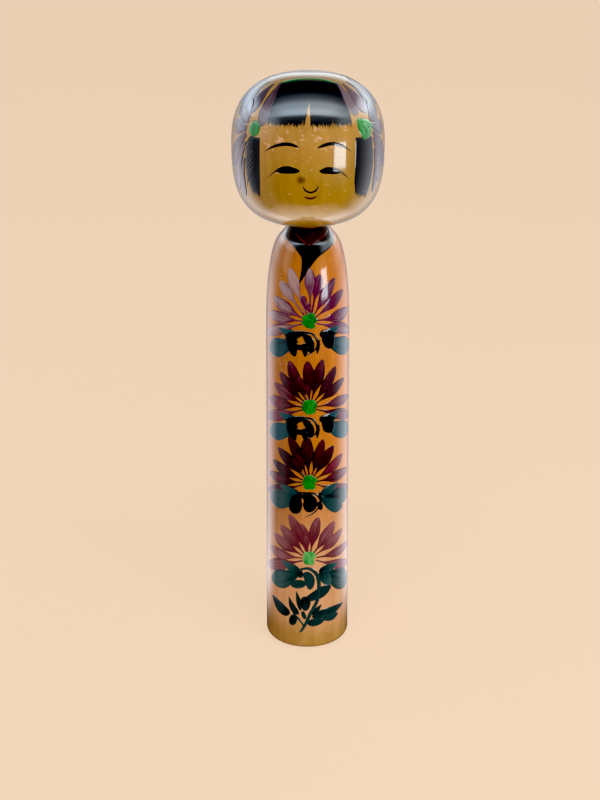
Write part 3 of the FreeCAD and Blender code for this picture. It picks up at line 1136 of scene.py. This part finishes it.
THIRD_SIDE_LEAVES = (
    ([(-3.4, -6.6), (-12, -9.8), (-23, -12.6)], 10.4, LOBE),
    ([(-5, -6.6), (-15.6, -3.2)], 4.8, POINTED),
    ([(4.4, -6.6), (13, -9), (24.4, -12.8)], 9.0, LOBE),
    ([(5, -8), (12.6, -13.6), (19, -16.6)], 7.4, LOBE),
    ([(5.6, -6.8), (15.6, -2.8)], 5.0, POINTED),
)
THIRD_DARK_LEAVES = (
    ([(-5, -6.2), (-6.8, -11), (-7, -16.8)], 7.2, belly(0.7, 0.42)),
    ([(-3, -6), (0.2, -9.6), (-0.2, -15.6)], 7.0, belly(0.6, 0.42)),
    ([(4.6, -10.2), (5.8, -15)], 3.0, BLUNT),
    ([(-6.4, -5.6), (1.4, -5.8), (4.7, -8.2), (5.1, -11.8), (2.6, -15.6), (-2.4, -18.4)], 1.2, HOOK),
)

for tier, height in enumerate(FLOWER_HEIGHTS[:3], start=1):
    heart = (FLOWER_X, height)
    if tier == 3:
        green, side_rows, dark_rows = leaf_deep, THIRD_SIDE_LEAVES, THIRD_DARK_LEAVES
    else:
        green, side_rows, dark_rows = leaf_teal, SIDE_LEAVES, DARK_LEAVES
    leaves("side_leaves_%d" % tier, "teal_dye", green, 70 + tier, 0.13, heart, side_rows)
    leaves("dark_leaves_%d" % tier, "black_ink", leaf_dark, 75 + tier, 0.16, heart, dark_rows)

# %% [markdown]
# The lowest flower stands on a whole plant, with a stem down to the ground line and loose leaves on both
# sides. It is one list of strokes placed from the middle of the flower, since no two of its leaves are
# alike.

# %% The plant under the lowest flower
heart = (FLOWER_X, FLOWER_HEIGHTS[3])
WIDE_LOBE = petal(0.0, 0.62, 0.3, 2.2)
leaves("side_leaves_4", "teal_dye", leaf_slate, 74, 0.13, heart, (
    ([(-3.8, -7.4), (-11.5, -11.6), (-21.8, -16.4)], 10.2, WIDE_LOBE),
    ([(-4.6, -7.6), (-14.6, -3.2)], 5.2, POINTED),
    ([(5, -8), (14, -12.6), (25.4, -19.6)], 10.8, WIDE_LOBE),
    ([(4.8, -8.2), (15.6, -5.2)], 5.6, POINTED),
    ([(6.2, -8.2), (10.8, -15.4)], 6.2, BLUNT),
))

MAIN_STEM = [(-5.2, -6.4), (-0.3, -5.6), (3.4, -8.6), (4.7, -13.4), (4.6, -18.5), (3.9, -23.4), (0.6, -30.1),
             (-1.9, -36.2), (-4.4, -40.6)]
leaves("plant_leaves", "teal_dye", leaf_green, 79, 0.16, heart, (
    ([(-5.2, -5.6), (-3.9, -11)], 3.6, LEAF),
    ([(-2.2, -7.4), (0.2, -11.6), (0.4, -17)], 5.2, BLUNT),
    ([(-1.6, -13.4), (-9.2, -15)], 5.0, BLUNT),
    ([(-2.4, -22.8), (3.5, -20.2), (11.2, -16.2)], 5.8, belly(0.6, 0.45)),
    ([(-1.8, -20.6), (-1.9, -28.6)], 5.2, BLUNT),
    ([(-4.2, -28.6), (-5.4, -22.4), (-6.4, -17.7)], 2.6, belly(0.6, 1)),
    ([(-5.2, -30.8), (-8.2, -27.2), (-10.3, -21.6)], 3.5, belly(0.5, 1)),
    ([(-9.6, -31), (-14.5, -29.6), (-21.2, -24.6)], 6.4, belly(0.5, 0.8)),
    ([(-7.2, -31.2), (-8.8, -37.2)], 4.4, BLUNT),
    ([(-3.4, -28.8), (-1.9, -33.2)], 2.4, BLUNT),
    ([(1.6, -31), (6.2, -25.4)], 3.0, POINTED),
    ([(1.4, -31.8), (9, -31), (20, -29)], 5.8, belly(0.5, 0.8)),
    ([(5.4, -32), (11.4, -33.6), (15.8, -33.2)], 4.8, BLUNT),
    ([(-0.8, -35.6), (7.6, -34.2)], 4.6, BLUNT),
    (MAIN_STEM, 2.1, belly(0.2, 0.25)),
    ([(-8.2, -30), (-4.3, -34.2), (-2.5, -37.4)], 1.1, TWIG),
))
